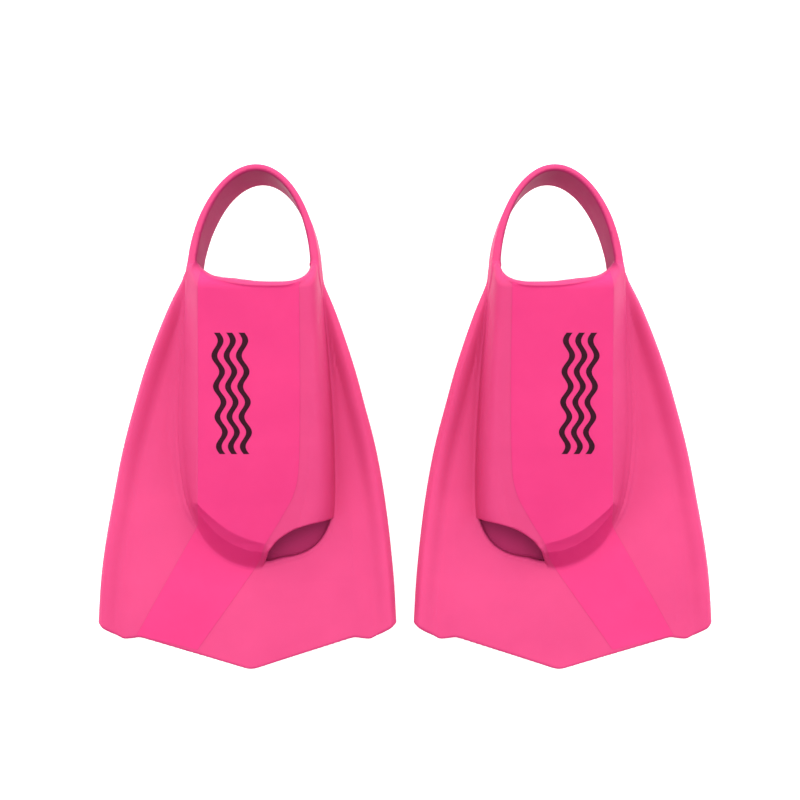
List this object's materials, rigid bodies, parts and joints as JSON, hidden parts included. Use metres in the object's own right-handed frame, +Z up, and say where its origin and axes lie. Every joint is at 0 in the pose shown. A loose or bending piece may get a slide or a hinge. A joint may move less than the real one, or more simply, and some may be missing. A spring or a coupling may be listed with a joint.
{
  "type": "pair of swim fins",
  "caption": "Pair of short training swim fins in soft silicone, with open-heel foot pockets, heel straps, side rails and pointed blades.",
  "frame": {"origin": "on the floor under the middle of the pair's box", "axes": "+Z up from the soles, +Y to the heels, X across the pair, with the right fin at -X"},
  "size_m": [0.4388, 0.3493, 0.0759],
  "materials": {
    "body_pink": "smooth satin silicone, bright pink",
    "deep_pink": "satin silicone, deeper pink",
    "print_ink": "matt dark ink, screen printed"
  },
  "bodies": {
    "right_blade": {"right_blade_band": "deep_pink", "right_blade_outer_web": "body_pink", "right_blade_inner_web": "body_pink", "right_blade_outer_rail": "body_pink", "right_blade_inner_rail": "body_pink"},
    "right_pocket": {"right_sole": "body_pink", "right_instep_panel": "deep_pink", "right_toe_slope": "deep_pink", "right_outer_side": "body_pink", "right_inner_side": "body_pink", "right_instep_lip": "body_pink", "right_toe_band": "deep_pink", "right_toe_plate": "body_pink", "right_outer_wing": "body_pink", "right_inner_wing": "body_pink", "right_outer_rail": "body_pink", "right_inner_rail": "body_pink", "right_print": "print_ink"},
    "right_strap": {"right_heel_strap": "body_pink"},
    "left_blade": {"left_blade_band": "deep_pink", "left_blade_outer_web": "body_pink", "left_blade_inner_web": "body_pink", "left_blade_outer_rail": "body_pink", "left_blade_inner_rail": "body_pink"},
    "left_pocket": {"left_sole": "body_pink", "left_instep_panel": "deep_pink", "left_toe_slope": "deep_pink", "left_outer_side": "body_pink", "left_inner_side": "body_pink", "left_instep_lip": "body_pink", "left_toe_band": "deep_pink", "left_toe_plate": "body_pink", "left_outer_wing": "body_pink", "left_inner_wing": "body_pink", "left_outer_rail": "body_pink", "left_inner_rail": "body_pink", "left_print": "print_ink"},
    "left_strap": {"left_heel_strap": "body_pink"}
  },
  "joints": [
    {"name": "right_blade_flex", "type": "hinge", "parent": "right_pocket", "child": "right_blade", "pos_m": [-0.11275, -0.112, 0.006], "axis": [-1, 0, 0], "range_deg": [-35, 30], "stiffness_Nm_per_rad": 3},
    {"name": "right_strap_fold", "type": "hinge", "parent": "right_pocket", "child": "right_strap", "pos_m": [-0.101, 0.106, 0.0395], "axis": [1, 0, 0], "range_deg": [-20, 40], "stiffness_Nm_per_rad": 0.5},
    {"name": "left_blade_flex", "type": "hinge", "parent": "left_pocket", "child": "left_blade", "pos_m": [0.11275, -0.112, 0.006], "axis": [-1, 0, 0], "range_deg": [-35, 30], "stiffness_Nm_per_rad": 3},
    {"name": "left_strap_fold", "type": "hinge", "parent": "left_pocket", "child": "left_strap", "pos_m": [0.101, 0.106, 0.0395], "axis": [1, 0, 0], "range_deg": [-20, 40], "stiffness_Nm_per_rad": 0.5},
    {"name": "fins_apart", "type": "slide", "parent": "right_pocket", "child": "left_pocket", "axis": [0, 0, 1], "range_m": [0, 0.12]}
  ]
}
